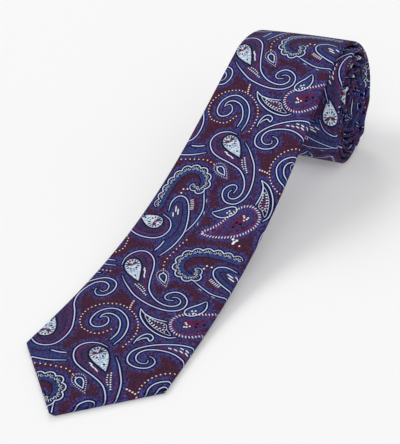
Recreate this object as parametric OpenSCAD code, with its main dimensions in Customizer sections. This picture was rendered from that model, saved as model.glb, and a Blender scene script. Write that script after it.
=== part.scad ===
// A necktie, rolled up from its narrow end, with the wide blade left laid out in front of the roll.
// The path below is the front face of the tie, from the blade's point to the tail's point in the core.
// Y runs along the blade towards the roll, X along the roll's axis, Z up from the surface it lies on.

/* [Length] */
// Length of the whole tie, point to point
tie_length = 1480; // [1400:10:1560]
// Length of the blade panel, from the point to its seam with the neck panel
blade_panel = 780; // [700:10:820]
// Length of the neck panel
neck_panel = 260; // [220:10:300]

/* [Width] */
// Width of the blade at its corners
blade_w = 80; // [75:1:85]
// Distance from the point back to the blade's corners
point_l = 36; // [34:1:42]
// Width lost for each millimetre of blade above the corners
taper = 0.0588; // [0.05:0.001:0.065]
// Width at the neck, the narrowest
neck_w = 35; // [32:1:38]
// Width of the tail at its corners
tail_w = 42; // [38:1:46]

/* [Cloth] */
// Thickness of the outer cloth
cloth_t = 0.5; // [0.4:0.05:0.6]
// Thickness of the interlining
lining_t = 1.2; // [0.8:0.05:1.3]
// Thickness of the tipping
tipping_t = 0.25; // [0.2:0.05:0.3]
// Air between one layer and the next
layer_gap = 0.05; // [0.03:0.01:0.08]
// Width of the hem behind each edge of the point
hem_w = 13; // [10:1:16]
// Distance from the point to the bar tack, where the back seam ends
tack_at = 78; // [70:1:90]

/* [Roll] */
// Outer radius of the roll where the blade leaves it
roll_r = 38.8; // [37:0.1:40]
// Radius of the front face at the tail's point, in the core
core_r = 4; // [3.5:0.5:5]
// How far the blade's middle drifts to the left between its point and the roll
drift = 22; // [0:1:24]
// Share of the drift that comes early, as a slight bow
bow = 0.4; // [0:0.05:0.6]
// How far the inner turns stand out past the blade's right edge
proud = 5.5; // [0:0.5:7]
// Slant of the end of the inner turns, front to back
slant = 0.12; // [0:0.01:0.14]
// How far the core is sunk below the end of the roll
dish = 4; // [0:0.5:6]

/* [Laid-out blade] */
// Length of the blade that lies flat, from its point
flat_l = 28; // [20:1:40]
// Length over which the blade bends up to its full slope
rise_l = 220; // [200:5:230]

/* [Back of the blade] */
// Distance from the point to the lower edge of the keeper loop
keeper_at = 222; // [210:1:230]
// Width of the keeper loop's band
keeper_band = 11; // [9:1:13]
// Span of the keeper loop across the blade
keeper_span = 44; // [38:1:48]
// Clear height under the middle of the keeper loop
keeper_rise = 1.6; // [1.2:0.1:2]
// Size of the woven label, along the blade and across it
label_size = [20, 38]; // [10:1:40]
// Size of the care label, along the blade and across it
care_size = [22, 14]; // [10:1:30]
// Distance between slip stitches along the back seam
stitch_pitch = 13; // [10:1:20]

/* [Hidden] */
blade_slope = 28.5;        // slope at which the blade meets the roll, degrees
turn_step = 12;           // angle between two stations on the roll, degrees
blade_step = 12;          // distance between two stations on the blade
joint_gap = 0.4;          // clearance between the laid-out blade and the roll
seam_gap = 1;             // gap between the two folds along the back seam
seam_w = 2.4;             // width of a joining seam, along the tie
tip_blunt = 1;            // half width of the cloth at the very point
tail_taper = 0.012;       // width lost for each millimetre of tail above its corners
spread = blade_w / 2 / point_l;     // half width gained for each millimetre behind a point
corner = point_l;                   // distance from the point to the corners of the blade
tail_corner = tail_w / 2 / spread;  // the same on the tail

// Depth of each layer's two faces below the front face
front_depth = [0, cloth_t];
lining_depth = [cloth_t + layer_gap, cloth_t + layer_gap + lining_t];
tipping_depth = [lining_depth[1] + layer_gap, lining_depth[1] + layer_gap + tipping_t];
fold_depth = [tipping_depth[1] + layer_gap, tipping_depth[1] + layer_gap + cloth_t];
tie_t = fold_depth[1];
label_t = 0.3;
label_depth = [tie_t + layer_gap, tie_t + layer_gap + label_t];

function smooth(t) = let (c = min(max(t, 0), 1)) c * c * (3 - 2 * c);
function mix(a, b, t) = a + (b - a) * t;
function slope(s) = blade_slope * smooth((s - flat_l) / rise_l);

// Front face of the bending part of the blade, one point a millimetre, as [y, z]
bend_end = flat_l + rise_l;
bend = [for (s = 0, y = 0, z = tie_t; s <= bend_end;
             y = y + cos(slope(s + 0.5)), z = z + sin(slope(s + 0.5)), s = s + 1) [y, z]];

// The pitch winds the rest of the tie between roll_r and core_r. The laid-out length depends a little on
// the pitch, so its usual value stands in for it. The roll's lowest facet lies on the surface.
laid_estimate = 280;
pitch = PI * (pow(roll_r, 2) - pow(core_r, 2)) / (tie_length - laid_estimate);
function roll_radius(turn) = roll_r - pitch * turn / 360;
bottom_turn = 180 + blade_slope;
axis_z = (roll_radius(bottom_turn) + pitch / 60) * cos(turn_step / 2);
hinge_z = axis_z + roll_r * cos(blade_slope);
hinge_s = bend_end + (hinge_z - bend[bend_end][1]) / sin(blade_slope);
hinge_y = bend[bend_end][0] + (hinge_s - bend_end) * cos(blade_slope);
axis_y = hinge_y + roll_r * sin(blade_slope);

// Length wound after a turn, in degrees, and the turn after a wound length
function wound(turn) = (roll_r * turn - pitch * turn * turn / 720) * PI / 180;
function turn_at(s) = let (k = 360 / pitch) k * (roll_r - sqrt(max(roll_r * roll_r
    - (s - hinge_s) * pitch / PI, 0)));
last_turn = turn_at(tie_length);

// Half width of the tie at a distance s from the blade's point: between its edges, then at its points too
function body_w(s) =
    let (blade = (blade_w - taper * (s - corner)) / 2)
    let (tail = (tail_w - tail_taper * (tie_length - s - tail_corner)) / 2)
    max(blade, tail, neck_w / 2);
function half_w(s) = min(body_w(s), max(s * spread, tip_blunt), max((tie_length - s) * spread, tip_blunt));

// Right edge of the tie on the roll, after a turn
departure_edge = half_w(hinge_s) - drift;
function roll_edge(turn) =
    let (g = smooth((turn - 120) / 180))
    departure_edge + proud * g - slant * roll_radius(turn) * sin(turn - blade_slope) * g
    - dish * turn / last_turn;
function middle(s) = let (t = s / hinge_s)
    s <= hinge_s ? -drift * t * (1 + bow * (1 - t)) : roll_edge(turn_at(s)) - body_w(s);

// A station: [distance along the tie, middle x, [front face y, z], [outward normal y, z]]
function blade_station(s) =
    let (i = min(floor(s), bend_end - 1))
    let (past = max(s - bend_end, 0))
    let (p = s < bend_end ? mix(bend[i], bend[i + 1], s - i)
        : bend[bend_end] + past * [cos(blade_slope), sin(blade_slope)])
    [s, middle(s), p, [-sin(slope(s)), cos(slope(s))]];
function roll_station(turn) =
    let (a = turn - blade_slope)
    let (n = [sin(a), cos(a)])
    let (s = hinge_s + wound(turn))
    [s, middle(s), [axis_y, axis_z] + roll_radius(turn) * n, n];
function station(s) = s <= hinge_s ? blade_station(s) : roll_station(turn_at(s));

// Stations of a stretch of the tie: its two ends, and the shared ones between them
function between(list, from, to) = [for (s = list) if (s > from + 0.8 && s < to - 0.8) s];
blade_marks = [4, 13, 26, corner, 52, 65, tack_at, for (s = [90 : blade_step : hinge_s]) s];
first_turn = (bottom_turn + turn_step / 2) % turn_step;
roll_marks = [for (turn = [first_turn : turn_step : last_turn]) hinge_s + wound(turn)];
shared_marks = concat(blade_marks, roll_marks);
function stretch(from, to) = concat([from], between(shared_marks, from, to), [to]);

blade_to = hinge_s - joint_gap / 2;
rolled_from = hinge_s + joint_gap / 2;
neck_from = blade_panel + seam_w;
neck_to = blade_panel + neck_panel;
tail_from = neck_to + seam_w;

// Half width left open between the folds: closed along the seam, open behind the point
function open_behind(from_point, at_corner) =
    let (shut = seam_gap / 2)
    let (hem = spread * min(from_point, at_corner) - hem_w)
    let (closing = (from_point - at_corner) / (tack_at - at_corner))
    max(mix(hem, shut, min(max(closing, 0), 1)), shut);
function fold_edge(s) = s < tie_length / 2 ? open_behind(s, corner) : open_behind(tie_length - s, tail_corner);

// Places the tie about the middle of its outline on the surface
all_s = concat(stretch(0, hinge_s), between(roll_marks, hinge_s, hinge_s + 300));
x_min = min([for (s = all_s) middle(s) - half_w(s)]);
x_max = max([for (s = all_s) middle(s) + half_w(s)]);
y_max = max([for (s = all_s) station(s)[2][0]]);
origin = [(x_min + x_max) / 2, y_max / 2, 0];

function at(st, x, depth) =
    [st[1] + x, st[2][0] - depth * st[3][0], st[2][1] - depth * st[3][1]] - origin;

// A strip of cloth along the tie, between two depths and two edges given as functions of s
module strip(marks, depth, left, right) {
    stations = [for (s = marks) station(s)];
    n = len(stations);
    points = [for (st = stations) each [
        at(st, left(st[0]), depth[0]), at(st, right(st[0]), depth[0]),
        at(st, right(st[0]), depth[1]), at(st, left(st[0]), depth[1])]];
    sides = [for (i = [0 : n - 2]) for (k = [0 : 3])
        let (a = 4 * i + k) let (b = 4 * i + (k + 1) % 4)
        each [[a, b, b + 4], [a, b + 4, a + 4]]];
    ends = [[0, 3, 2], [0, 2, 1], [4 * n - 4, 4 * n - 3, 4 * n - 2], [4 * n - 4, 4 * n - 2, 4 * n - 1]];
    polyhedron(points = points, faces = concat(sides, ends), convexity = 10);
}

module front(from, to) strip(stretch(from, to), front_depth, function (s) -half_w(s), function (s) half_w(s));

module lining(from, to) {
    inset = 1.5;
    strip(stretch(from, to), lining_depth, function (s) -max(half_w(s) - inset, tip_blunt / 2),
        function (s) max(half_w(s) - inset, tip_blunt / 2));
}

module fold_left(from, to) strip(stretch(from, to), fold_depth, function (s) -half_w(s), function (s) -fold_edge(s));

module fold_right(from, to) strip(stretch(from, to), fold_depth, function (s) fold_edge(s), function (s) half_w(s));

// Lining cloth behind a point, tucked under the folds on both sides
module tipping(from, to) {
    tuck = 5;
    strip(stretch(from, to), tipping_depth,
        function (s) -min(fold_edge(s) + tuck, half_w(s) - 1),
        function (s) min(fold_edge(s) + tuck, half_w(s) - 1));
}

// Short threads across the gap between the folds, one at each distance in the list
module slip_stitches(places) {
    thread = 0.8;
    span = seam_gap / 2 - 0.06;
    for (s = places)
        strip([s, s + thread], fold_depth, function (s) -span, function (s) span);
}

// A dense row of threads that closes the end of the back seam
module bar_tack(s) {
    threads = 4;
    span = seam_gap / 2 - 0.06;
    for (i = [0 : threads - 1])
        strip([s + i, s + i + 0.7], fold_depth, function (s) -span, function (s) span);
}

// The folded allowances and thread of a seam that joins two panels
module joining_seam(s) {
    gap = 0.05;
    marks = [s + gap, s + seam_w - gap];
    strip(marks, front_depth, function (s) -half_w(s), function (s) half_w(s));
    strip(marks, fold_depth, function (s) -half_w(s), function (s) half_w(s));
}

fold_start = 1.2;         // distance from a point to the ends of its hems
lining_start = 4;         // distance from a point to the interlining and the tipping
tipping_past = 12;        // how far the tipping runs past the bar tack, under the folds

module blade_front() color([0.27, 0.15, 0.22]) front(0, blade_to);
module blade_interlining() color([0.93, 0.91, 0.86]) lining(lining_start, blade_to);
module blade_fold_left() color([0.25, 0.14, 0.24]) fold_left(fold_start, blade_to);
module blade_fold_right() color([0.25, 0.14, 0.24]) fold_right(fold_start, blade_to);
module blade_tipping() color([0.13, 0.15, 0.33]) tipping(lining_start, tack_at + tipping_past);
module blade_bar_tack() color([0.2, 0.12, 0.2]) bar_tack(tack_at + 0.5);
module blade_slip_stitches() {
    first = tack_at + stitch_pitch;
    color([0.2, 0.12, 0.2]) slip_stitches([for (s = [first : stitch_pitch : hinge_s - 4]) s]);
}

// The keeper loop's band rises from its stitched ends to the clear height in its middle
module keeper_loop() {
    columns = 12;
    flat_end = 4;
    marks = [keeper_at, keeper_at + keeper_band];
    stations = [for (s = marks) station(s)];
    function lift(c) = let (end = keeper_span * min(c, columns - c) / columns)
        keeper_rise * smooth((end - flat_end) / 8);
    function across(c) = keeper_span * (c / columns - 0.5);
    points = [for (c = [0 : columns]) each [
        at(stations[0], across(c), label_depth[0] + lift(c)),
        at(stations[1], across(c), label_depth[0] + lift(c)),
        at(stations[1], across(c), label_depth[0] + lift(c) + cloth_t),
        at(stations[0], across(c), label_depth[0] + lift(c) + cloth_t)]];
    sides = [for (c = [0 : columns - 1]) for (k = [0 : 3])
        let (a = 4 * c + k) let (b = 4 * c + (k + 1) % 4)
        each [[a, b + 4, b], [a, a + 4, b + 4]]];
    last = 4 * columns;
    ends = [[0, 1, 2], [0, 2, 3], [last, last + 3, last + 2], [last, last + 2, last + 1]];
    color([0.27, 0.15, 0.22]) polyhedron(points = points, faces = concat(sides, ends), convexity = 4);
}

// Threads through each end of the keeper loop
module keeper_stitches() {
    outside = label_depth[0] + cloth_t + layer_gap;
    inset = 2;
    color([0.2, 0.12, 0.2])
        for (side = [-1, 1])
            for (i = [0 : 2])
                let (x = side * (keeper_span / 2 - inset))
                let (s0 = keeper_at + 1.5 + 3 * i)
                strip([s0, s0 + 2], [outside, outside + 0.3],
                    function (s) x - 0.3, function (s) x + 0.3);
}

label_at = keeper_at + keeper_band + 8;

module woven_label() color([0.16, 0.16, 0.3]) strip(stretch(label_at, label_at + label_size[0]), label_depth,
    function (s) -label_size[1] / 2, function (s) label_size[1] / 2);

// Four corner tacks that hold the woven label
module woven_label_stitches() {
    outside = label_depth[1] + layer_gap;
    inset = 1.5;
    length = 3;
    color([0.75, 0.72, 0.68])
        for (side = [-1, 1])
            for (s0 = [label_at + inset, label_at + label_size[0] - inset - length])
                let (x = side * (label_size[1] / 2 - inset))
                strip([s0, s0 + length], [outside, outside + 0.25],
                    function (s) x - 0.3, function (s) x + 0.3);
}

care_at = keeper_at - care_size[0] - 6;

module care_label() color([0.92, 0.92, 0.9]) strip(stretch(care_at, care_at + care_size[0]), label_depth,
    function (s) -care_size[1] / 2, function (s) care_size[1] / 2);

module rolled_blade_front() color([0.27, 0.15, 0.22]) front(rolled_from, blade_panel);
module rolled_blade_interlining() color([0.93, 0.91, 0.86]) lining(rolled_from, blade_panel);
module rolled_blade_fold_left() color([0.25, 0.14, 0.24]) fold_left(rolled_from, blade_panel);
module rolled_blade_fold_right() color([0.25, 0.14, 0.24]) fold_right(rolled_from, blade_panel);
module blade_neck_seam() color([0.2, 0.12, 0.2]) joining_seam(blade_panel);
module neck_front() color([0.27, 0.15, 0.22]) front(neck_from, neck_to);
module neck_interlining() color([0.93, 0.91, 0.86]) lining(blade_panel + 0.1, tail_from - 0.1);
module neck_fold_left() color([0.25, 0.14, 0.24]) fold_left(neck_from, neck_to);
module neck_fold_right() color([0.25, 0.14, 0.24]) fold_right(neck_from, neck_to);
module neck_tail_seam() color([0.2, 0.12, 0.2]) joining_seam(neck_to);
module tail_front() color([0.27, 0.15, 0.22]) front(tail_from, tie_length);
module tail_interlining() color([0.93, 0.91, 0.86]) lining(tail_from, tie_length - lining_start);
module tail_fold_left() color([0.25, 0.14, 0.24]) fold_left(tail_from, tie_length - fold_start);
module tail_fold_right() color([0.25, 0.14, 0.24]) fold_right(tail_from, tie_length - fold_start);
module tail_tipping() color([0.13, 0.15, 0.33]) tipping(tie_length - tack_at - tipping_past, tie_length - lining_start);
module tail_bar_tack() color([0.2, 0.12, 0.2]) bar_tack(tie_length - tack_at - 4);
module rolled_slip_stitches() {
    first = rolled_from + 6;
    last = tie_length - tack_at - 6;
    color([0.2, 0.12, 0.2])
        slip_stitches([for (s = [first : 2 * stitch_pitch : last])
            if (abs(s - blade_panel) > 5 && abs(s - neck_to) > 5) s]);
}

blade_front();
blade_interlining();
blade_fold_left();
blade_fold_right();
blade_tipping();
blade_bar_tack();
blade_slip_stitches();
keeper_loop();
keeper_stitches();
woven_label();
woven_label_stitches();
care_label();
rolled_blade_front();
rolled_blade_interlining();
rolled_blade_fold_left();
rolled_blade_fold_right();
blade_neck_seam();
neck_front();
neck_interlining();
neck_fold_left();
neck_fold_right();
neck_tail_seam();
tail_front();
tail_interlining();
tail_fold_left();
tail_fold_right();
tail_tipping();
tail_bar_tack();
rolled_slip_stitches();
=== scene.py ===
"""A rolled paisley necktie, built round its CAD parts.

Lengths are in millimetres until place() turns them into the frame's metres.
"""
import math
import bmesh
import bpy
import numpy as np
from mathutils import Matrix, Vector


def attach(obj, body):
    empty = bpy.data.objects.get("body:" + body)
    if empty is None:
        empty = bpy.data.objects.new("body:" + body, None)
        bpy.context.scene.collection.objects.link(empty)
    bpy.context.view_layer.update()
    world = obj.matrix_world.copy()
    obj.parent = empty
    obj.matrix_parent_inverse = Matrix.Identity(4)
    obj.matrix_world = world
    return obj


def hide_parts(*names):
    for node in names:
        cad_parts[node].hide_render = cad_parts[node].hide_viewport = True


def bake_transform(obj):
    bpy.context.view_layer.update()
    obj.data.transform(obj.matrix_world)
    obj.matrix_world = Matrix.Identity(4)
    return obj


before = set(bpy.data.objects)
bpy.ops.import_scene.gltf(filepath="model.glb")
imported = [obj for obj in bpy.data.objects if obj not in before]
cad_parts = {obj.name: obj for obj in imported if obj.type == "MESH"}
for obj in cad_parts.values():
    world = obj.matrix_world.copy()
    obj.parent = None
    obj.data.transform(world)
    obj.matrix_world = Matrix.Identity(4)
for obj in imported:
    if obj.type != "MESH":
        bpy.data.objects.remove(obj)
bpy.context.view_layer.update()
scene = bpy.context.scene

# ---------------------------------------------------------------- the tie's shape
# Distances along the tie, from the blade's point: the whole tie and the ends of the blade and neck panels
TIE, BLADE_END, NECK_END = 1480.0, 780.0, 1040.0
BLADE_W, NECK_W, TAIL_W = 80.0, 35.0, 42.0
# From the point to the blade's corners and to its bar tack, and the hem behind the point
CORNER, TACK_AT, HEM = 36.0, 78.0, 13.0
SPREAD = BLADE_W / 2 / CORNER
TAIL_CORNER = TAIL_W / 2 / SPREAD
TAPER, TAIL_TAPER = 0.0588, 0.012
TIP_BLUNT = 0.8
# The blade lies flat, bends up over the rise and then climbs straight to the roll
FLAT, RISE = 28.0, 220.0
THICK = 2.6
SLOPE = math.radians(28.5)
ROLL_R, CORE_R = 38.8, 4.0
LAID_OUT = 280.0
PITCH = math.pi * (ROLL_R ** 2 - CORE_R ** 2) / (TIE - LAID_OUT)
# The blade's middle drifts to the left, and the inner turns stand out past its right-hand edge
DRIFT, BOW = 22.0, 0.4
PROUD, SLANT, DISH = 5.5, 0.12, 4.0
# The inner turns are pressed a little flat, along a line that leans over by this angle
FLATTENED, LEAN = 0.3, 0.3
# Where the frame's origin lies, from a point on the table under the blade's point
ORIGIN_X, ORIGIN_Y = -9.352, 160.444


def smooth(t):
    t = np.clip(t, 0, 1)
    return t * t * (3 - 2 * t)


def slope(s):
    """Angle of the laid-out blade with the table."""
    return SLOPE * smooth((s - FLAT) / RISE)


BEND_END = FLAT + RISE
_marks = np.arange(BEND_END + 1)
_bend_y = np.concatenate([[0], np.cumsum(np.cos(slope(_marks[:-1] + 0.5)))])
_bend_z = THICK + np.concatenate([[0], np.cumsum(np.sin(slope(_marks[:-1] + 0.5)))])
_bottom = math.degrees(SLOPE) + 180
AXIS_Z = (ROLL_R - PITCH * _bottom / 360 + PITCH / 60) * math.cos(math.radians(6))
HINGE_Z = AXIS_Z + ROLL_R * math.cos(SLOPE)
HINGE_S = BEND_END + (HINGE_Z - _bend_z[-1]) / math.sin(SLOPE)
HINGE_Y = _bend_y[-1] + (HINGE_S - BEND_END) * math.cos(SLOPE)
AXIS_Y = HINGE_Y + ROLL_R * math.sin(SLOPE)


def radius_at(turn):
    """Radius of the face, this many degrees round the roll."""
    return ROLL_R - PITCH * turn / 360


def wound(turn):
    """Length of tie wound on the roll in this many degrees."""
    return (ROLL_R * turn - PITCH * turn * turn / 720) * math.pi / 180


def turn_at(s):
    """Degrees round the roll at a distance along the tie."""
    past = np.maximum(s - HINGE_S, 0)
    return 360 / PITCH * (ROLL_R - np.sqrt(np.maximum(ROLL_R ** 2 - past * PITCH / math.pi, 0)))


LAST_TURN = float(turn_at(TIE))


def body_width(s):
    """Half width of the tie, leaving out its points."""
    blade = (BLADE_W - TAPER * (s - CORNER)) / 2
    tail = (TAIL_W - TAIL_TAPER * (TIE - s - TAIL_CORNER)) / 2
    return np.maximum(np.maximum(blade, tail), NECK_W / 2)


def half_width(s):
    """Half width of the tie, points and all."""
    return np.minimum(body_width(s), np.maximum(np.minimum(s, TIE - s) * SPREAD, TIP_BLUNT))


_departure = float(half_width(np.float64(HINGE_S))) - DRIFT


def roll_edge(turn):
    """How far to the right the rolled cloth's edge lies."""
    g = smooth((turn - 120) / 180)
    proud = PROUD * g - SLANT * radius_at(turn) * np.sin(np.radians(turn) - SLOPE) * g
    return _departure + proud - DISH * turn / LAST_TURN


def middle(s):
    """How far to the right the tie's middle line lies."""
    t = s / HINGE_S
    laid_out = -DRIFT * t * (1 + BOW * (1 - t))
    return np.where(s <= HINGE_S, laid_out, roll_edge(turn_at(s)) - body_width(s))


def fold_edge(s):
    """Half width left open between the folds behind a point, closed along the back seam."""
    from_point = np.minimum(s, TIE - s)
    corner = np.where(s < TIE / 2, CORNER, TAIL_CORNER)
    hem = SPREAD * np.minimum(from_point, corner) - HEM
    closing = np.clip((from_point - corner) / (TACK_AT - corner), 0, 1)
    return np.maximum(hem + (0.5 - hem) * closing, 0.5)


def ruffle(u, s):
    """How far the edges of the rolled cloth wander along the roll's axis, and inwards.
    They start to wander past the outermost turn, and wander most in the inner turns."""
    past = s - HINGE_S
    edge = smooth((past - 215) / 60) * smooth((np.abs(u) / body_width(s) - 0.3) / 0.7)
    edge = edge * (0.4 + 0.6 * smooth((past - 280) / 300))
    waves = 1.1 * np.sin(s / 6.3 + 2.1 * np.sin(s / 17.0))
    ripples = 0.7 * np.sin(s / 2.9 + 1.3 * np.sin(s / 11.0))
    whole_turns = 1.1 * np.sin(turn_at(s) / 105.0)
    inwards = 0.22 * np.sin(s / 3.7 + 2.0 * np.sin(s / 13.0)) + 0.12 * np.sin(s / 1.9)
    return edge * (waves + ripples + whole_turns), edge * inwards


def place(u, s, depth):
    """Frame coordinates, in metres, of a point u across the tie, s along it and depth below its face."""
    u, s, depth = np.broadcast_arrays(*(np.asarray(v, float) for v in (u, s, depth)))
    along, inwards = ruffle(u, s)
    depth = depth + inwards
    turn = turn_at(s)
    ang = np.where(s > HINGE_S, np.radians(turn) - SLOPE, -slope(np.minimum(s, BEND_END)))
    flat = np.clip(s - BEND_END, 0, HINGE_S - BEND_END)
    y = np.interp(s, _marks, _bend_y) + flat * math.cos(SLOPE)
    z = np.interp(s, _marks, _bend_z) + flat * math.sin(SLOPE)
    r = radius_at(turn)
    y = np.where(s > HINGE_S, AXIS_Y + r * np.sin(ang), y) - depth * np.sin(ang)
    z = np.where(s > HINGE_S, AXIS_Z + r * np.cos(ang), z) - depth * np.cos(ang)
    flattened = FLATTENED * np.where(s > HINGE_S, smooth(1 - (r - CORE_R) / 16), 0)
    aslant = (y - AXIS_Y) * math.cos(LEAN) - (z - AXIS_Z) * math.sin(LEAN)
    y = y - flattened * aslant * math.cos(LEAN)
    z = z + flattened * aslant * math.sin(LEAN)
    return np.stack([middle(s) + u + along - ORIGIN_X, y - ORIGIN_Y, z], -1) / 1000


# ---------------------------------------------------------------- the camera
def aimed_camera(name, position, yaw, pitch, roll, lens):
    """A camera turned left by yaw, down by pitch and on its side by roll, in degrees."""
    data = bpy.data.cameras.new(name)
    data.sensor_width, data.lens = 36, lens
    data.clip_start, data.clip_end = 0.02, 20
    cam = bpy.data.objects.new(name, data)
    scene.collection.objects.link(cam)
    y, p, r = map(math.radians, (yaw, pitch, roll))
    ahead = Vector((-math.sin(y) * math.cos(p), math.cos(y) * math.cos(p), -math.sin(p)))
    side = Vector((math.cos(y), math.sin(y), 0))
    up = side.cross(ahead)
    right = side * math.cos(r) + up * math.sin(r)
    above = up * math.cos(r) - side * math.sin(r)
    rows = [[right[i], above[i], -ahead[i], position[i]] for i in range(3)]
    cam.matrix_world = Matrix(rows + [[0, 0, 0, 1]])
    return cam


scene.camera = aimed_camera("camera", (0.2548, -0.3966, 0.2780), 34.0, 29.36, -4.71, 80.1)
scene.view_settings.view_transform = "Standard"

# ---------------------------------------------------------------- the paisley pattern
# Every motif is drawn once, in millimetres across (u) and along (s) the cloth, and repeated by the
# weave's pattern: shifts along both diagonals, and mirrored copies half a shift along.
CELL_A, CELL_B, MIRROR = 115.2, 124.0, 49.6
STEP = 0.25
NA, NB = round(CELL_A / STEP), round(CELL_B / STEP)
DA, DB = CELL_A / NA, CELL_B / NB
# What a distance field holds where no line is near
FAR = 6.0


def resample(p, pitch):
    """The same line as points at an even pitch."""
    run = np.concatenate([[0], np.cumsum(np.hypot(*np.diff(p, axis=0).T))])
    n = max(2, int(round(run[-1] / pitch)) + 1)
    at = np.linspace(0, run[-1], n)
    return np.stack([np.interp(at, run, p[:, 0]), np.interp(at, run, p[:, 1])], -1)


def curve(points, closed=False, pitch=STEP):
    """A smooth curve through a few points, as close-set points at an even pitch."""
    p = np.array(points, float)
    if closed:
        p = np.vstack([p[-1], p, p[0], p[1]])
    else:
        p = np.vstack([2 * p[0] - p[1], p, 2 * p[-1] - p[-2]])
    out = []
    for a, b, c, d in zip(p[:-3], p[1:-2], p[2:-1], p[3:]):
        t = np.linspace(0, 1, 24, endpoint=False)[:, None]
        bend, twist = 2 * a - 5 * b + 4 * c - d, 3 * b - a - 3 * c + d
        out.append(0.5 * (2 * b + (c - a) * t + bend * t ** 2 + twist * t ** 3))
    return resample(np.vstack(out + [p[-2:-1]]), pitch)


def sideways(p):
    """At each point of a line, its direction and the direction to its left."""
    t = np.gradient(p, axis=0)
    t /= np.maximum(np.hypot(t[:, 0], t[:, 1]), 1e-9)[:, None]
    return t, np.stack([-t[:, 1], t[:, 0]], -1)


def offset(p, distance):
    """The curve moved to its left; distance is one number or one a point."""
    return p + sideways(p)[1] * np.reshape(distance, (-1, 1))


def scallops(p, pitch, height):
    """A row of arches that stands on a line."""
    run = np.linspace(0, 1, len(p))
    n = max(1, round(len(p) * STEP / pitch))
    return resample(offset(p, height * np.abs(np.sin(np.pi * run * n)) ** 0.7), STEP)


def about_middle(p, scale):
    """An outline scaled about its own middle."""
    return np.mean(p, 0) + (p - np.mean(p, 0)) * scale


def drop(head, tip, radius, bend=0.0, point=1.3):
    """A teardrop outline, round about its head and drawn out to its tip."""
    head, tip = np.array(head, float), np.array(tip, float)
    length = np.hypot(*(tip - head))
    axis = (tip - head) / length
    f = np.linspace(0, 2 * np.pi, 61)
    along = (length + radius) * (1 + np.cos(f)) / 2 - radius
    across = radius * 1.25 * np.sin(f) * np.abs(np.sin(f / 2)) ** point
    across = across + bend * (np.maximum(along, 0) / length) ** 2
    left = np.array([-axis[1], axis[0]])
    return resample(head + along[:, None] * axis + across[:, None] * left, STEP)


def copies(p):
    """The two classes of copies of some points, in diagonal coordinates."""
    p = np.atleast_2d(p)
    a, b = (p[:, 0] + p[:, 1]) / math.sqrt(2), (p[:, 1] - p[:, 0]) / math.sqrt(2)
    return [np.stack([a, b], -1), np.stack([2 * MIRROR - a, b + CELL_B / 2], -1)]


# Distances to the lines of each colour and to the nearest outline, and the shares of the filled areas
line, white, cream, navy, near = (np.full((NA, NB), FAR, np.float32) for _ in range(5))
crimson, light, teal = (np.zeros((NA, NB), np.float32) for _ in range(3))


def stroke(field, p, width, reach=1.8, taper=0.0):
    """Keeps in a field the signed distance to a line of this width; it may thin towards its ends."""
    run = np.linspace(0, 1, len(p))
    half = width / 2 * (1 - taper + taper * np.minimum(1, np.minimum(run, 1 - run) * 8))
    k = int(reach / STEP) + 1
    for q in copies(p):
        for (a, b), w in zip(q, half):
            i, j = int(round(a / DA)), int(round(b / DB))
            ii = np.arange(i - k, i + k + 1)
            jj = np.arange(j - k, j + k + 1)
            d = np.hypot((ii * DA - a)[:, None], (jj * DB - b)[None, :]) - w
            cell = np.ix_(ii % NA, jj % NB)
            field[cell] = np.minimum(field[cell], d)


def fill(field, p, value):
    """Sets a field inside a closed outline."""
    for q in copies(p):
        lo = np.floor(q.min(0) / (DA, DB)).astype(int)
        hi = np.ceil(q.max(0) / (DA, DB)).astype(int)
        ii, jj = np.arange(lo[0], hi[0] + 1), np.arange(lo[1], hi[1] + 1)
        a, b = np.meshgrid(ii * DA, jj * DB, indexing="ij")
        odd = np.zeros(a.shape, bool)
        for (a0, b0), (a1, b1) in zip(q[::2], np.roll(q[::2], -1, 0)):
            if b0 != b1:
                crossing = (a1 - a0) * (b - b0) / (b1 - b0) + a0
                odd ^= ((b0 > b) != (b1 > b)) & (a < crossing)
        cell = np.ix_(ii % NA, jj % NB)
        field[cell] = np.where(odd, value, field[cell])


def dots(field, p, pitch, radius):
    """Dots along a line."""
    stroke(field, resample(p, pitch), 2 * radius, 1.6)


def dot(field, radius, *places):
    """Dots at these places."""
    stroke(field, np.array(places, float), 2 * radius, 1.8)


def dash(field, width, *ends):
    """Straight dashes between pairs of points, thinned at their ends."""
    for a, b in ends:
        stroke(field, resample(np.array([a, b], float), 0.2), width, 1.2, 0.7)


def ticks(field, p, pitch, length, width, leans=(0.0,), shift=0.0):
    """Short strokes across a curve, one or a fan of them at each place."""
    q = resample(p, pitch)
    t, n = sideways(q)
    for c, d, e in zip(q, n, t):
        for lean in leans:
            foot = c + d * (shift - length / 2)
            tick = np.array([foot + e * lean * 0.25, foot + d * length + e * lean])
            stroke(field, resample(tick, 0.2), width, 1.2)


def fans(p):
    """At each point a fan of fine petals that opens to the left of the curve."""
    t, n = sideways(p)
    for c, d, e in zip(p, n, t):
        foot = c - d * 1.6
        for turn in (-1.25, -0.62, 0.0, 0.62, 1.25):
            way = d * math.cos(turn) + e * math.sin(turn)
            petal = np.array([foot + way * 1.0, foot + way * 2.4])
            stroke(white, resample(petal, 0.2), 0.34, 1.2)


def outline(p, width=0.56, taper=0.4):
    """A pale line, with the blue stipple that surrounds it."""
    stroke(line, p, width, 2.0, taper)
    stroke(near, p[::3], 0.0, 5.4)


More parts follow.
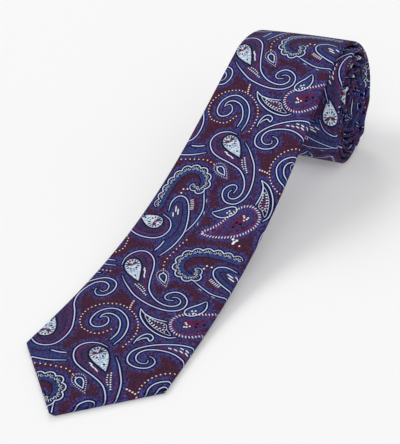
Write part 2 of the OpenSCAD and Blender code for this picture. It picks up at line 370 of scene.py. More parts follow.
def bulb(shape, eye, look, speck):
    """A pale bulb: seeds round its eye, a red butterfly in it and a blue speck towards its tip."""
    fill(light, shape, 1.0)
    fill(crimson, shape, 0.0)
    fill(teal, shape, 0.0)
    outward = 1 if offset(shape, 1.0).std() > shape.std() else -1
    stroke(navy, offset(shape, 0.55 * outward), 0.9)
    eye, look = np.array(eye, float), np.array(look, float)
    side = np.array([-look[1], look[0]])
    for k in range(13):
        turn = 2 * math.pi * (k + 0.5) / 13
        way = look * math.cos(turn) + side * math.sin(turn)
        if way @ look > -0.9:
            seed = np.array([eye + way * 3.0, eye + way * 3.9])
            stroke(navy, resample(seed, 0.2), 0.75)
    for k in (-1, 1):
        wing = drop(eye + k * side * 1.6 + look * 0.7, eye - look * 0.8 - k * side * 0.3, 1.3)
        fill(crimson, wing, 1.0)
        fill(light, wing, 0.0)
    speck = np.array(speck, float)
    dot(navy, 0.6, speck)
    way = (speck - eye) / np.hypot(*(speck - eye))
    cross = np.array([-way[1], way[0]])
    for along in (3.4, 4.8):
        dot(navy, 0.38, *(eye + way * along + cross * k * 1.3 for k in (-1, 0, 1)))


def stripe(p, near_side, far_side):
    """A crimson stripe beside a line."""
    fill(crimson, np.vstack([offset(p, near_side), offset(p, far_side)[::-1]]), 1.0)


# A: the great paisley, whose bulb is wrapped in a band that runs out in an S and ends in a curl
upper = curve([(-27.2, 113.5), (-28, 119), (-26.3, 124), (-23, 127), (-19, 127.6), (-14.8, 125.8),
               (-11.3, 122.3), (-8.8, 117), (-6.6, 109.5), (-3.6, 102.3), (0.5, 97.8), (5.5, 94.8),
               (10.5, 93.6), (14.6, 94.2), (17.2, 96.8), (16.8, 99.8), (14, 101.2), (11.4, 100.4)])
lower = curve([(-22.5, 106), (-19, 102.4), (-14.3, 98.6), (-8.5, 94.6), (-2, 92), (4.5, 90.4),
               (11.5, 90), (17, 91.4), (20.6, 95), (20.4, 100.2), (17, 103.8), (12.4, 105),
               (8.6, 102.8), (7.6, 99.6), (9.6, 97.8), (13.4, 98.4)])
band = np.vstack([upper, lower[::-1]])
fill(teal, band, 0.3)
stripe(upper[:210], -1.5, -2.9)
ticks(navy, offset(upper[:120], -3.9), 1.0, 1.0, 0.36)
stripe(lower[40:150], 1.5, 2.5)
for p in (upper, lower):
    outline(p)
great = drop((-21.3, 115.5), (-12.8, 104.2), 4.9, 1.5)
bulb(great, (-21.5, 115.7), (-0.67, 0.74), (-15.6, 108.6))
dash(white, 0.6, ((-13.8, 116), (-13, 113.6)), ((-12.6, 114.4), (-11.4, 111.4)),
                 ((-11.6, 111.4), (-10, 108.6)))
dots(white, curve([(-12, 102.2), (-7.5, 99.8), (-2.6, 96.8)]), 1.5, 0.42)
dots(white, curve([(-10.2, 103), (-7, 101.6), (-4.6, 99.6)]), 1.5, 0.38)

# B: the long paisley, whose bulb lies at the far end of the band from its spiral
inner = curve([(23, 54), (23.6, 52), (21.5, 50.5), (18.5, 51), (16.5, 53.5), (16.6, 57),
               (19.2, 60.3), (25, 62.6), (31.5, 63.1), (37.5, 61.2), (43.5, 57), (50.2, 53.2),
               (56, 50.8), (62.2, 50.2), (68.2, 51.4), (71.7, 54.8), (72.8, 60.5), (69.8, 66.2),
               (63.7, 69.3)])
outer = curve([(22.3, 56.6), (25, 56), (27, 53.2), (25.4, 49), (20.5, 47), (15.5, 48), (13, 51.5),
               (13, 56.5), (16.5, 61.5), (22.5, 66), (30, 69.5), (36.5, 71), (42, 70.2), (48, 67.4),
               (53, 65)])
fill(teal, np.vstack([inner, outer[::-1]]), 0.3)
stripe(inner[60:], 1.5, 2.8)
ticks(navy, offset(inner[200:], 3.8), 1.0, 1.0, 0.36)
outline(inner)
outline(outer)
bulb(drop((61.4, 62.6), (50.6, 65), 5.0), (61.6, 62.6), (0.97, -0.22), (54.6, 64.2))
dash(white, 0.6, ((27.5, 66), (29.5, 65.8)), ((30.5, 66.4), (32.6, 65.8)),
                 ((33.5, 66.6), (35.8, 65.6)), ((36.6, 66.4), (39, 64.8)))
dash(white, 0.6, ((33, 68.4), (35, 68)), ((36, 68.2), (38.4, 67)), ((39.6, 67.4), (42, 65.6)))

# C: the scalloped hook, with a bell flower in every scallop, its stem and the leaf inside it
hook = curve([(-31, 161), (-31.8, 167), (-32, 173), (-31.6, 180), (-29.6, 187), (-25.8, 192.3),
              (-20, 194.2), (-14.5, 193.2), (-10.6, 189.6), (-8.6, 185.2), (-9, 180.6),
              (-11.6, 178.2), (-14.2, 178.6), (-16.2, 180.6), (-16.4, 183)])
edge = scallops(hook, 5.8, 1.9)
fill(teal, np.vstack([edge, offset(hook, -4.2)[:-24][::-1]]), 0.8)
outline(edge)
flowers = resample(hook, 5.8)
hearts = (flowers[:-1] + flowers[1:]) / 2
dot(navy, 1.5, *offset(hearts, -0.4))
fans(hearts)
dots(navy, offset(hook, -4.6)[:-30], 1.1, 0.4)
outline(curve([(-8.2, 179.2), (-4.6, 171.5), (-2.6, 165), (-3, 156.5), (-5, 148.5)]), 0.5)
leaf = curve([(-22, 160), (-23.5, 166.5), (-22, 171.3), (-18.5, 172.4), (-14.3, 169.8),
              (-10.5, 163.5), (-7.2, 155), (-5.6, 146.5), (-7, 136), (-10.5, 127)])
vein = curve([(-21.4, 163), (-19.6, 168.2), (-16.6, 167), (-13.4, 161), (-11, 153), (-10.8, 145),
              (-13.2, 139)])
leaf_back = curve([(-14.5, 130), (-13.7, 139), (-17.5, 150), (-21.5, 160)])
fill(teal, np.vstack([leaf, leaf_back]), 0.45)
outline(leaf)
outline(curve([(-13.6, 138.5), (-14, 134), (-15.2, 130)]))
stroke(navy, vein, 0.5)
dash(white, 0.6, ((-19.4, 164.8), (-17.6, 160.4)), ((-17.2, 163.2), (-15.4, 158.8)),
                 ((-19, 159.8), (-17.4, 156.8)))
dot(cream, 0.55, (-21, 177.5), (-18.6, 178.2), (-21, 174.6))
ticks(cream, curve([(-12.2, 171.2), (-10.6, 168.4), (-9.4, 165)]), 1.35, 1.7, 0.5)
for u, s in ((-3.4, 173), (-0.8, 164.2), (-0.8, 155.8)):
    fleck = drop((u, s - 1), (u - 1.4, s + 1.8), 0.9)
    fill(teal, fleck, 1.0)
    dash(white, 0.35, ((u - 0.6, s + 1.2), (u + 0.2, s - 1.2)))

# D: the spiral, with a ring of dots
outside = curve([(2, 56.5), (3, 63.5), (1.5, 71), (-2, 76.5), (-7, 80), (-11.5, 81), (-16, 79.2),
                 (-19, 75.2), (-19.6, 70), (-18, 66), (-14.6, 64.4), (-11, 66), (-9.6, 69.4),
                 (-11, 72.6), (-13.2, 73.6), (-15.2, 72.4)])
within = curve([(-1.6, 58.8), (-1, 65), (-3, 71), (-6, 74.8), (-10.2, 76.6), (-13.6, 76.2),
                (-15.6, 74), (-15.6, 71.4)])
fill(teal, np.vstack([outside[:130], within[:70][::-1]]), 0.7)
outline(outside)
outline(within)
dots(cream, curve([(-20, 61), (-24.2, 65.6), (-25.6, 71.5), (-24.2, 77), (-20.6, 81.4), (-15.6, 84),
                   (-10, 84.9), (-4.4, 83.3), (1, 80), (5.4, 74.8), (7.8, 68.4), (7.9, 62.5),
                   (7, 57)]), 2.3, 0.42)
dots(cream, curve([(-18, 60.4), (-12.4, 59.6), (-8.4, 61.6), (-5.4, 66)]), 2.3, 0.42)
dots(cream, curve([(-6, 90), (-5.8, 88), (-5.2, 85)]), 1.9, 0.52)

# E: the toothed comma, with its small leaf and its crescent
comma = curve([(4.7, 150), (9.7, 149.4), (16.3, 150.6), (23, 153.6), (27.4, 157.5), (30.6, 162.5),
               (31.4, 167.5), (29.8, 172), (26.4, 175), (23, 175.9), (19.6, 175), (16.8, 172.4),
               (14.7, 168.6), (13, 164.4), (11, 159.6), (8, 155), (4.7, 151.9)], True)
heart = curve([(20, 172.7), (23.8, 173), (26.8, 170.4), (27.6, 166.7), (25.6, 162.3), (22, 158.6),
               (18, 156.2), (14.3, 154.8), (14.9, 160), (16.2, 165.4), (17.6, 170)], True)
fill(crimson, comma, 0.3)
fill(teal, heart, 0.8)
fill(crimson, heart, 0.0)
pit = about_middle(heart, 0.72)
fill(teal, pit, 0.2)
fill(crimson, pit, 0.8)
ticks(cream, comma, 1.7, 1.15, 0.55, (0.5,))
stroke(near, comma[::2], 0.0, 5.0)
dot(white, 0.5, (21.8, 168.6), (22.6, 167.6), (24.8, 168), (24.4, 166.8), (23.2, 165.6))
dot(navy, 0.8, (20, 163), (22.4, 162.6), (19.4, 159.4))
small = curve([(3.4, 166), (7, 168.6), (10.5, 171.6), (13.8, 173.1), (16.4, 171.6), (15.9, 168),
               (12.8, 165), (9, 163.8), (5.6, 164.4)], True)
fill(teal, small, 0.45)
outline(small)
dot(white, 0.5, (12.6, 169.6), (13.8, 168.2), (11.8, 168))
back = curve([(21.5, 195), (26, 192.8), (29.6, 189.3), (33, 184), (35.2, 177.5), (35.4, 171.5),
              (33.4, 168)])
front = curve([(21.5, 195), (24.2, 191), (25.4, 186), (25.4, 181), (25, 177.6)])
mouth = curve([(33.4, 168), (31.6, 172.4), (28.6, 175.6), (25, 177.6)])
crescent = np.vstack([back, mouth, front[::-1]])
fill(teal, crescent, 0.3)
fill(crimson, crescent, 0.0)
outline(back)
outline(front)
lining = curve([(24.8, 190.4), (28.4, 187.2), (31.6, 181.6), (33.4, 175), (33.2, 171.2),
                (30.2, 175), (27, 177.4), (26.8, 184)], True)
core = about_middle(lining, 0.62)
stroke(line, lining, 0.36)
fill(crimson, core, 0.7)
ticks(white, core, 1.9, 0.9, 0.42, (0.4,), 0.5)
dots(white, curve([(28, 186), (30.2, 181.6), (31.2, 176.6)]), 1.9, 0.4)
dot(white, 0.75, (23, 151.4), (24.4, 149.8), (25.4, 151.2), (24.2, 148.6))
dot(cream, 0.55, (28.3, 148))

# F: the small drop in its ring of dots, and G: the little hook
pip = drop((-5.6, 196.6), (-1, 192.8), 2.1)
fill(teal, pip, 0.8)
outline(pip)
dots(cream, about_middle(pip, 1.7), 1.35, 0.32)
nib = curve([(10.4, 61.4), (10.6, 66), (12.4, 69.9), (15.3, 70.7), (17.5, 68.9), (16.9, 66.3),
             (14.6, 67.8), (12.2, 66), (11.2, 64)])
fill(teal, nib, 0.8)
outline(nib)

# Dotted lines that lead from one motif to the next
dots(cream, curve([(-1.6, 143), (-3, 138.8), (-4.2, 133), (-5.2, 127.5), (-5.4, 123.4), (-4.2, 120),
                   (-2.2, 116)]), 2.9, 0.42)


def soften(field, passes=1):
    """Blurs a field by a step or so."""
    for _ in range(passes):
        for axis in (0, 1):
            field = (np.roll(field, 1, axis) + 2 * field + np.roll(field, -1, axis)) / 4
    return field


halo = smooth((4.4 - near) / 2.8)
crimson, light, teal, halo = soften(crimson, 2), soften(light), soften(teal, 2), soften(halo)


# ---------------------------------------------------------------- materials
class Shader:
    """A material's node tree, with short names for the nodes that are used over and over."""

    def __init__(self, name, rough, sheen=0.0, specular=0.3):
        self.material = bpy.data.materials.new(name)
        self.material.use_nodes = True
        self.nodes, self.links = self.material.node_tree.nodes, self.material.node_tree.links
        self.nodes.clear()
        self.out = self.nodes.new("ShaderNodeOutputMaterial")
        self.skin = self.nodes.new("ShaderNodeBsdfPrincipled")
        self.skin.inputs["Roughness"].default_value = rough
        self.skin.inputs["Sheen Weight"].default_value = sheen
        self.skin.inputs["Sheen Roughness"].default_value = 0.4
        self.skin.inputs["Specular IOR Level"].default_value = specular
        self.links.new(self.skin.outputs[0], self.out.inputs[0])

    def attribute(self, name):
        n = self.nodes.new("ShaderNodeAttribute")
        n.attribute_name = name
        return n

    def split(self, vector):
        n = self.nodes.new("ShaderNodeSeparateXYZ")
        self.links.new(vector, n.inputs[0])
        return n.outputs

    def ramp(self, value, low, high, start=0.0, end=1.0):
        n = self.nodes.new("ShaderNodeMapRange")
        n.interpolation_type = "SMOOTHSTEP"
        for key, v in zip(("From Min", "From Max", "To Min", "To Max"), (low, high, start, end)):
            n.inputs[key].default_value = v
        self.links.new(value, n.inputs["Value"])
        return n.outputs[0]

    def math(self, operation, a, b):
        n = self.nodes.new("ShaderNodeMath")
        n.operation = operation
        for socket, v in zip(n.inputs, (a, b)):
            if isinstance(v, (int, float)):
                socket.default_value = v
            else:
                self.links.new(v, socket)
        return n.outputs[0]

    def mix(self, amount, a, b, blend="MIX"):
        n = self.nodes.new("ShaderNodeMix")
        n.data_type, n.blend_type = "RGBA", blend
        for socket, v in ((n.inputs[0], amount), (n.inputs[6], a), (n.inputs[7], b)):
            if isinstance(v, tuple):
                socket.default_value = (*v, 1)
            elif isinstance(v, (int, float)):
                socket.default_value = v
            else:
                self.links.new(v, socket)
        return n.outputs[2]

    def scaled(self, vector, scale, turn=0.0):
        n = self.nodes.new("ShaderNodeMapping")
        n.inputs["Scale"].default_value = scale
        n.inputs["Rotation"].default_value = (0, 0, turn)
        self.links.new(vector, n.inputs[0])
        return n.outputs[0]

    def noise(self, vector, scale, detail=2.0):
        n = self.nodes.new("ShaderNodeTexNoise")
        n.inputs["Scale"].default_value = scale
        n.inputs["Detail"].default_value = detail
        self.links.new(vector, n.inputs["Vector"])
        return n.outputs[0]

    def cells(self, vector, randomness=1.0):
        n = self.nodes.new("ShaderNodeTexVoronoi")
        n.voronoi_dimensions = "2D"
        n.inputs["Scale"].default_value = 1.0
        n.inputs["Randomness"].default_value = randomness
        self.links.new(vector, n.inputs["Vector"])
        return n

    def wave(self, vector, scale, direction="X", distortion=0.0):
        n = self.nodes.new("ShaderNodeTexWave")
        n.bands_direction = direction
        n.inputs["Scale"].default_value = scale
        n.inputs["Distortion"].default_value = distortion
        self.links.new(vector, n.inputs["Vector"])
        return n.outputs["Fac"]

    def bump(self, height, strength, distance):
        n = self.nodes.new("ShaderNodeBump")
        n.inputs["Strength"].default_value = strength
        n.inputs["Distance"].default_value = distance
        self.links.new(height, n.inputs["Height"])
        self.links.new(n.outputs[0], self.skin.inputs["Normal"])

    def colour(self, value):
        self.links.new(value, self.skin.inputs["Base Color"])


def paisley_silk():
    """The jacquard: pale and coloured wefts float over a maroon ground, stippled blue by each motif."""
    k = Shader("paisley jacquard", 0.6, sheen=0.0, specular=0.02)
    lines, fills = k.attribute("ink_lines"), k.attribute("ink_fills")
    pale, white, cream = k.split(lines.outputs["Vector"])
    navy = lines.outputs["Alpha"]
    halo, crimson, light = k.split(fills.outputs["Vector"])
    teal = fills.outputs["Alpha"]
    spot = k.attribute("cloth_mm").outputs["Vector"]

    picks = k.cells(k.scaled(spot, (2.5, 1.7, 1), 0.5), 0.7)
    chance = k.split(picks.outputs["Color"])
    ground = k.mix(k.ramp(chance[2], 0.35, 0.9), (0.042, 0.014, 0.034), (0.088, 0.026, 0.058))
    floats = k.math("LESS_THAN", chance[0], k.math("MULTIPLY", halo, 0.62))
    blues = k.mix(k.ramp(chance[1], 0.1, 0.7), (0.01, 0.014, 0.085), (0.06, 0.1, 0.42))
    base = k.mix(k.math("MULTIPLY", floats, 0.85), ground, blues)
    reds = k.mix(k.ramp(chance[1], 0.25, 0.6), (0.03, 0.01, 0.05), (0.21, 0.012, 0.045))
    base = k.mix(crimson, base, reds)
    seas = k.mix(chance[2], (0.006, 0.024, 0.09), (0.04, 0.1, 0.34))
    base = k.mix(k.math("MULTIPLY", teal, 0.9), base, seas)
    milk = k.mix(k.ramp(chance[1], 0.2, 0.9), (0.3, 0.42, 0.6), (0.85, 0.92, 1.0))
    base = k.mix(light, base, milk)
    base = k.mix(k.ramp(pale, 0.5, 1.3, 1.0, 0.0), base, (0.004, 0.003, 0.032))
    base = k.mix(k.ramp(navy, -0.1, 0.14, 1, 0), base, (0.004, 0.003, 0.024))
    base = k.mix(k.ramp(pale, -0.1, 0.14, 1, 0), base, (0.68, 0.76, 1.0))
    base = k.mix(k.ramp(white, -0.12, 0.14, 1, 0), base, (0.92, 0.96, 1.0))
    base = k.mix(k.ramp(cream, -0.14, 0.12, 1, 0), base, (0.98, 0.84, 0.82))

    twill = k.wave(k.scaled(spot, (1, 1, 1), 0.9), 0.5, "X")
    base = k.mix(k.ramp(twill, 0.2, 0.8, 0.0, 0.16), base, (0.004, 0.004, 0.02))
    k.colour(base)
    k.bump(k.math("ADD", twill, k.ramp(pale, -0.3, 0.5, 1.0, 0.0)), 0.25, 0.0002)
    return k.material


def woven(name, low, high, pitch, rough=0.7, sheen=0.2, strength=0.4):
    """A plain weave of two close colours, on the cloth's own millimetres."""
    k = Shader(name, rough, sheen)
    spot = k.attribute("cloth_mm").outputs["Vector"]
    warp = k.wave(spot, 0.314 / pitch, "X")
    weft = k.wave(spot, 0.314 / pitch, "Y")
    cross = k.math("MULTIPLY", warp, weft)
    uneven = k.math("MULTIPLY", k.noise(spot, 1.3, 4), 0.3)
    k.colour(k.mix(k.math("ADD", k.math("MULTIPLY", cross, 0.7), uneven), low, high))
    k.bump(cross, strength, 0.0002)
    return k.material


def felted(name, low, high):
    """Brushed wool: matted fibres with a soft sheen."""
    k = Shader(name, 0.95, 0.5, 0.1)
    spot = k.attribute("cloth_mm").outputs["Vector"]
    fibres = k.noise(k.scaled(spot, (0.4, 2.5, 1), 0.6), 1.6, 8)
    k.colour(k.mix(fibres, low, high))
    k.bump(fibres, 0.8, 0.0004)
    return k.material


def twisted(name, low, high):
    """Sewing thread, twisted out of plies."""
    k = Shader(name, 0.6, 0.3)
    spot = k.attribute("cloth_mm").outputs["Vector"]
    plies = k.wave(k.scaled(spot, (1, 1, 1), 0.8), 1.2, "X")
    k.colour(k.mix(plies, low, high))
    k.bump(plies, 0.6, 0.0001)
    return k.material


LABEL_MARGIN = 1.6


def label_cloth(name, low, high, border, width, length):
    """A satin label, woven with nothing but a border line and a small lozenge."""
    k = Shader(name, 0.4, 0.1)
    spot = k.attribute("cloth_mm").outputs["Vector"]
    x, y, _ = k.split(spot)
    ax, ay = k.math("ABSOLUTE", x, 0), k.math("ABSOLUTE", y, 0)
    satin = k.wave(k.scaled(spot, (1, 1, 1), 0.4), 0.9, "Y")
    uneven = k.math("MULTIPLY", k.noise(spot, 2.0, 3), 0.4)
    cloth = k.mix(k.math("ADD", k.math("MULTIPLY", satin, 0.6), uneven), low, high)
    past_x = k.math("SUBTRACT", ax, length / 2 - LABEL_MARGIN)
    past_y = k.math("SUBTRACT", ay, width / 2 - LABEL_MARGIN)
    inside = k.math("MAXIMUM", past_x, past_y)
    lozenge = k.math("ADD", ax, k.math("MULTIPLY", ay, 0.8))
    rim = k.math("SUBTRACT", k.math("ABSOLUTE", k.math("ADD", inside, 0.5), 0), 0.2)
    ring = k.math("SUBTRACT", k.math("ABSOLUTE", k.math("SUBTRACT", lozenge, 3.2), 0), 0.3)
    k.colour(k.mix(k.ramp(k.math("MINIMUM", rim, ring), 0, 0.15, 1, 0), cloth, border))
    k.bump(satin, 0.4, 0.0001)
    return k.material


# ---------------------------------------------------------------- meshes
def grid_mesh(name, grids, finish):
    """One mesh from grids of points, each of rows by columns."""
    mesh = bpy.data.meshes.new(name)
    faces, first = [], 0
    for g in grids:
        idx = first + np.arange(g.shape[0] * g.shape[1]).reshape(g.shape[:2])
        corners = [idx[:-1, :-1], idx[:-1, 1:], idx[1:, 1:], idx[1:, :-1]]
        faces.append(np.stack(corners, -1).reshape(-1, 4))
        first += idx.size
    faces = np.concatenate(faces)
    mesh.vertices.add(first)
    points = np.concatenate([g.reshape(-1) for g in grids])
    mesh.vertices.foreach_set("co", points.astype(np.float32))
    mesh.loops.add(faces.size)
    mesh.loops.foreach_set("vertex_index", faces.reshape(-1).astype(np.int32))
    mesh.polygons.add(len(faces))
    mesh.polygons.foreach_set("loop_start", np.arange(0, faces.size, 4, dtype=np.int32))
    mesh.update(calc_edges=True)
    mesh.validate()
    mesh.shade_smooth()
    mesh.materials.append(finish)
    obj = bpy.data.objects.new(name, mesh)
    scene.collection.objects.link(obj)
    return obj


def section(s, step):
    """Right half of the tie's cross-section at each s: distances across, depths and cloth distances.
    It runs from the middle of the face over the rounded edge to the fold's end behind."""
    w = half_width(s)[:, None]
    e = np.minimum(fold_edge(s)[:, None], np.maximum(w - 1, 0.3))
    base = np.minimum(THICK / 2, 0.6 * w)
    rho = base - 0.05 * smooth((s - HINGE_S - 60) / 120)[:, None]
    columns = int(math.ceil(w.max() / step)) + 1
    x_face = (w - rho) * np.linspace(0, 1, columns)[None, :]
    on_roll = smooth((s - HINGE_S - 40) / 60)[:, None]
    crown = 0.45 * np.clip(w / 20, 0, 1) * (1 - 0.85 * on_roll)
    d_face = -crown * (1 - (x_face / (w - rho)) ** 2)
    th = np.linspace(0, math.pi, 9)[None, 1:]
    x_edge, d_edge = w - rho + rho * np.sin(th), rho * (1 - np.cos(th))
    columns = max(4, int(math.ceil((w - e).max() / (step * 2.5)))) + 1
    b = np.linspace(0, 1, columns)[None, 1:]
    x_fold = (w - rho) - (w - rho - e) * b
    d_fold = 2 * rho - 2 * (rho - base) * b
    x_hem = np.concatenate([e - 0.1, e + 0.2, e + 1.2], 1)
    d_hem = np.concatenate([2 * base - 0.25, 2 * base - 0.5, 2 * base - 0.55], 1)
    x = np.concatenate([x_face, x_edge, x_fold, x_hem], 1)
    d = np.concatenate([d_face, d_edge, d_fold, d_hem], 1)
    legs = np.hypot(np.diff(x, axis=1, prepend=x[:, :1]), np.diff(d, axis=1, prepend=d[:, :1]))
    return x, d, np.cumsum(legs, 1)


def cloth(name, start, end, along_step, across_step):
    """A stretch of the tie's outer cloth: its face, its rounded edges and the folds behind."""
    s = np.linspace(start, end, int(round((end - start) / along_step)) + 1)
    x, d, run = section(s, across_step)
    x = np.concatenate([-x[:, :0:-1], x], 1)
    d = np.concatenate([d[:, :0:-1], d], 1)
    run = np.concatenate([-run[:, :0:-1], run], 1)
    ss = np.broadcast_to(s[:, None], x.shape)
    obj = grid_mesh(name, [place(x, ss, d)], SILK)
    ink(obj, run, ss)
    return obj


def spots(obj, u, s):
    """Keeps each vertex's place on the cloth, in millimetres."""
    att = obj.data.attributes.new("cloth_mm", "FLOAT_VECTOR", "POINT")
    u, s = np.ravel(u), np.ravel(s)
    places = np.stack([u, s, np.zeros_like(u)], -1)
    att.data.foreach_set("vector", places.ravel().astype(np.float32))


INKS = {"ink_lines": (line, white, cream, navy), "ink_fills": (halo, crimson, light, teal)}


def ink(obj, u, s):
    """Gives each vertex its place on the cloth and the pattern's fields there.
    The pattern runs a little off the cloth's own grid, and off to one side under the roll."""
    spots(obj, u, s)
    u, s = np.ravel(u), np.ravel(s)
    skew = smooth((s - 365) / 75)
    u = u + 9.8 * skew
    s = s + 4 + 3 * smooth((s - 30) / 120) - 13 * skew
    a, b = (u + s) / math.sqrt(2) / DA, (s - u) / math.sqrt(2) / DB
    i, j = np.floor(a).astype(int), np.floor(b).astype(int)
    fa, fb = a - i, b - j
    for name in INKS:
        parts = []
        for f in INKS[name]:
            near_a = f[i % NA, j % NB] * (1 - fb) + f[i % NA, (j + 1) % NB] * fb
            next_a = f[(i + 1) % NA, j % NB] * (1 - fb) + f[(i + 1) % NA, (j + 1) % NB] * fb
            parts.append(near_a * (1 - fa) + next_a * fa)
        att = obj.data.attributes.new(name, "FLOAT_COLOR", "POINT")
        att.data.foreach_set("color", np.stack(parts, -1).ravel().astype(np.float32))


def level(u):
    """No lift at all."""
    return 0 * u


def slab(name, start, end, half, top, bottom, finish, step=2.0, lift=level, mark=spots, shift=0.0):
    """A flat piece with soft edges between two depths; half is its half width, fixed or at each s.
    lift raises it, mark writes its attributes, and shift moves its pattern along."""
    thick = bottom - top
    s = np.linspace(start, end, max(2, int(round((end - start) / step)) + 1))
    s = np.concatenate([[start - 0.4 * thick], s, [end + 0.4 * thick]])
    h = np.broadcast_to(half(s) if callable(half) else half, s.shape)[:, None]
    f = np.linspace(-1, 1, max(2, int(np.ceil(2 * h.max() / step))) + 1)[None]
    span = (h - 0.15) * f
    u = np.concatenate([span, h, span[:, ::-1], -h, span[:, :1]], 1)
    g = np.concatenate([0 * f, [[0.5]], 0 * f + 1, [[0.5, 0]]], 1)
    g = np.broadcast_to(g, u.shape).copy()
    g[0], g[-1] = 0.5, 0.5
    ss = np.broadcast_to(s[:, None], u.shape)
    obj = grid_mesh(name, [place(u, ss, top + thick * g + lift(u))], finish)
    mark(obj, u, ss + shift)
    shell = bmesh.new()
    shell.from_mesh(obj.data)
    bmesh.ops.remove_doubles(shell, verts=shell.verts, dist=1e-6)
    shell.to_mesh(obj.data)
    shell.free()
    return obj


def thread(name, paths, radius, finish):
    """Round thread through lists of places (across, along, depth) on the tie."""
    grids, marks = [], []
    around = np.linspace(0, 2 * math.pi, 9)[None, :, None]
    for path in paths:
        run = np.linspace(0, 1, len(path))
        fine = np.linspace(0, 1, 4 * len(path))
        p = place(*(np.interp(fine, run, c) for c in np.array(path, float).T))
        t = np.gradient(p, axis=0)
        t /= np.linalg.norm(t, axis=1)[:, None]
        a = np.cross(t, (0.31, 0.52, 0.79))
        a /= np.linalg.norm(a, axis=1)[:, None]
        b = np.cross(t, a)
        r = radius / 1000 * np.sqrt(np.clip(8 * np.minimum(fine, 1 - fine), 0.02, 1))
        ring = a[:, None] * np.cos(around) + b[:, None] * np.sin(around)
        grids.append(p[:, None] + r[:, None, None] * ring)
        length = np.linalg.norm(np.diff(p, axis=0), axis=1).sum() * 1000
        spot = np.broadcast_arrays(around[..., 0] * radius, fine[:, None] * length)
        marks.append(np.stack(spot, -1).reshape(-1, 2))
    obj = grid_mesh(name, grids, finish)
    spots(obj, *np.concatenate(marks).T)
    return obj


def lies(piece, body, nodes):
    """Hangs a piece on its body's empty, or, for "both", where the piece bends from one body to the
    other, fixes it in the frame; then hides the parts it stands for.
    """
    if body == "both":
        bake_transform(piece)
    else:
        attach(piece, body)
    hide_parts(*nodes.split())


# ---------------------------------------------------------------- finishes
SILK = paisley_silk()
WOOL = felted("interlining wool", (0.62, 0.57, 0.48), (0.82, 0.79, 0.71))
TIPPING = woven("tipping cloth", (0.008, 0.012, 0.06), (0.03, 0.045, 0.16), 0.6, 0.45, 0.1)
THREAD = twisted("maroon thread", (0.05, 0.012, 0.03), (0.13, 0.04, 0.08))
TACKS = twisted("pale thread", (0.5, 0.46, 0.4), (0.78, 0.74, 0.68))
LABEL_W, LABEL_L = 38, 20
CARE_W, CARE_L = 14, 22
GOLD, GREY = (0.5, 0.36, 0.16), (0.45, 0.47, 0.52)
LABEL = label_cloth("woven label", (0.008, 0.01, 0.05), (0.02, 0.028, 0.12), GOLD, LABEL_L, LABEL_W)
CARE = label_cloth("care label", (0.66, 0.66, 0.64), (0.86, 0.86, 0.84), GREY, CARE_L, CARE_W)

# ---------------------------------------------------------------- outer cloth
# The blade's own stretch runs a little way on to the roll, and bends over the roll there
CUT = HINGE_S + float(wound(125.0))
BLADE_STEP, ROLLED_STEP = 0.3, 0.4
INNER_STEPS = (1.0, 0.8)

blade = cloth("blade_cloth", TIP_BLUNT, CUT, BLADE_STEP, BLADE_STEP)
lies(blade, "both", "blade_front blade_fold_left blade_fold_right")

rolled = cloth("rolled_blade_cloth", CUT, BLADE_END, ROLLED_STEP, ROLLED_STEP)
lies(rolled, "roll", "rolled_blade_front rolled_blade_fold_left rolled_blade_fold_right")

neck = cloth("neck_cloth", BLADE_END, NECK_END, *INNER_STEPS)
lies(neck, "roll", "neck_front neck_fold_left neck_fold_right")

tail = cloth("tail_cloth", NECK_END, TIE - TIP_BLUNT, *INNER_STEPS)
lies(tail, "roll", "tail_front tail_fold_left tail_fold_right")


# ---------------------------------------------------------------- what lies inside
def lining_half(s):
    """Half width of the interlining, which stops short of the cloth's edges."""
    return np.maximum(half_width(s) - 1.5, 0.5)


def tipping_half(s):
    """Half width of the tipping, tucked under the folds."""
    return np.minimum(fold_edge(s) + 5, half_width(s) - 1)


LINING_START, TIPPING_END = 4, 90


def interlining(part, body, start, end):
    wool = slab(part + "_wool", start, end, lining_half, 0.55, 1.75, WOOL)
    lies(wool, body, part + "_interlining")


def tipping(part, body, start, end):
    lining = slab(part + "_tipping_cloth", start, end, tipping_half, 1.8, 2.05, TIPPING)
    lies(lining, body, part + "_tipping")


interlining("blade", "both", LINING_START, CUT)
interlining("rolled_blade", "roll", CUT, BLADE_END)
interlining("neck", "roll", BLADE_END, NECK_END)
interlining("tail", "roll", NECK_END, TIE - LINING_START)
tipping("blade", "blade", LINING_START, TIPPING_END)
tipping("tail", "roll", TIE - TIPPING_END, TIE - LINING_START)


# ---------------------------------------------------------------- the seam behind
def stitch(s, reach=0.9, slant=0.9, rise=0.15):
    """A thread that goes into both folds and stands just proud of the gap between them."""
    into, over = THICK - 0.4, THICK + rise
    return [(-reach, s, into), (-reach / 2, s + slant * 0.3, over), (reach / 2, s + slant * 0.7, over),
            (reach, s + slant, into)]


def tack(s):
    """A bar tack, as a close row of long stitches that lean both ways."""
    return [stitch(s + 0.55 * i, 2.0, 0.2 if i % 2 else -0.2, 0.3) for i in range(8)]


def clear_of_seams(s):
    return abs(s - BLADE_END) > 5 and abs(s - NECK_END) > 5


FINE_THREAD, TACK_THREAD = 0.16, 0.28
laid_seam = np.arange(TACK_AT + 13, HINGE_S - 4, 13)
slips = thread("blade_slip_threads", [stitch(s) for s in laid_seam], FINE_THREAD, THREAD)
lies(slips, "both", "blade_slip_stitches")
rolled_seam = filter(clear_of_seams, np.arange(HINGE_S + 90, TIE - TACK_AT - 6, 26))
slips = thread("rolled_slip_threads", [stitch(s) for s in rolled_seam], FINE_THREAD, THREAD)
lies(slips, "roll", "rolled_slip_stitches")
blade_tack = thread("blade_tack_threads", tack(TACK_AT), TACK_THREAD, THREAD)
lies(blade_tack, "blade", "blade_bar_tack")
tail_tack = thread("tail_tack_threads", tack(TIE - TACK_AT - 4), TACK_THREAD, THREAD)
lies(tail_tack, "roll", "tail_bar_tack")

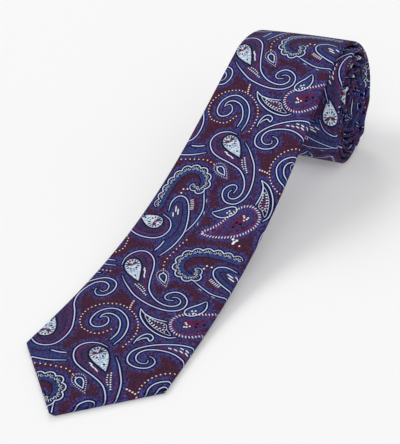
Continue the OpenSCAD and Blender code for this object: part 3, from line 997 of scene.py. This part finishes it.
# ---------------------------------------------------------------- keeper loop and labels
KEEPER_AT, KEEPER_BAND, KEEPER_SPAN = 222.0, 11.0, 44.0
BACK = THICK + 0.05
KEEPER_BACK, LABEL_BACK = BACK + 0.7, BACK + 0.3
LABEL_AT, CARE_AT = KEEPER_AT + KEEPER_BAND + 8, KEEPER_AT - 28


def keeper_lift(u):
    """The band stands off the folds between its sewn ends."""
    return 1.6 * smooth((KEEPER_SPAN / 2 - np.abs(u) - 4) / 8)


def running(u, start, end, depth, count, length):
    """Short visible lengths of a line of stitching along the tie."""
    into, over = depth - 0.4, depth + 0.1
    steps = ((0, into), (0.2, over), (0.8, over), (1, into))
    return [[(u, s + share * length, at) for share, at in steps]
            for s in np.linspace(start, end - length, count)]


keeper = slab("keeper_band", KEEPER_AT, KEEPER_AT + KEEPER_BAND, KEEPER_SPAN / 2, BACK, KEEPER_BACK, SILK,
              0.5, keeper_lift, ink, 300)
lies(keeper, "blade", "keeper_loop")
ends = []
for side in (-20, 20):
    ends += running(side, KEEPER_AT + 0.8, KEEPER_AT + KEEPER_BAND - 0.8, KEEPER_BACK, 4, 1.9)
lies(thread("keeper_threads", ends, 0.18, THREAD), "blade", "keeper_stitches")

label = slab("woven_label_satin", LABEL_AT, LABEL_AT + LABEL_L, LABEL_W / 2, BACK, LABEL_BACK, LABEL, 1.0,
             shift=-LABEL_AT - LABEL_L / 2)
lies(label, "both", "woven_label")
corners = []
for side in (-17.5, 17.5):
    for s in (LABEL_AT + 1.5, LABEL_AT + 15.5):
        corners += running(side, s, s + 3, LABEL_BACK, 2, 1.4)
lies(thread("woven_label_tacks", corners, 0.15, TACKS), "both", "woven_label_stitches")

care = slab("care_label_satin", CARE_AT, CARE_AT + CARE_L, CARE_W / 2, BACK, LABEL_BACK, CARE, 1.0,
            shift=-CARE_AT - CARE_L / 2)
lies(care, "blade", "care_label")


# ---------------------------------------------------------------- joining seams
def seam_half(s):
    """Half width of a seam's ridge."""
    return half_width(s) - 0.6


def seam_lift(u):
    """How much deeper a seam's ridge lies towards its ends."""
    return -0.1 + 0.45 * (u / 21) ** 2


for name, s in (("blade_neck_seam", BLADE_END), ("neck_tail_seam", NECK_END)):
    ridge = slab(name + "_ridge", s + 0.1, s + 2.3, seam_half, -0.5, -0.1, SILK, 0.6, seam_lift, ink, 150)
    lies(ridge, "roll", name)

# ---------------------------------------------------------------- stage
bpy.ops.mesh.primitive_plane_add(size=6, location=(0, 0.5, 0))
floor = bpy.context.object
floor.name = "floor"
# A faint painted glow of its own keeps the floor white, lifts the shadows on it and lights the cloth from
# below, without harsh lamps
white_floor = Shader("floor white", 0.9)
white_floor.skin.inputs["Base Color"].default_value = (0.8, 0.8, 0.805, 1)
white_floor.skin.inputs["Emission Color"].default_value = (1, 1, 1, 1)
white_floor.skin.inputs["Emission Strength"].default_value = 0.155
floor.data.materials.append(white_floor.material)

world = bpy.data.worlds.new("studio")
scene.world = world
world.use_nodes = True
world.node_tree.nodes["Background"].inputs[0].default_value = (1, 1, 1, 1)
world.node_tree.nodes["Background"].inputs[1].default_value = 0.5


def sun(name, direction, energy, degrees):
    """A distant lamp; the wider it is, the softer its shadows."""
    data = bpy.data.lights.new(name, "SUN")
    data.energy, data.angle = energy, math.radians(degrees)
    obj = bpy.data.objects.new(name, data)
    obj.location = (0, 0, 1)
    obj.rotation_euler = Vector(direction).to_track_quat("-Z", "Y").to_euler()
    scene.collection.objects.link(obj)


sun("key", (0.9, 0.3, -0.8), 0.95, 35)
sun("front fill", (-0.6, 0.9, -0.5), 1.3, 60)
sun("back light", (0.6, -0.9, -0.75), 0.6, 18)
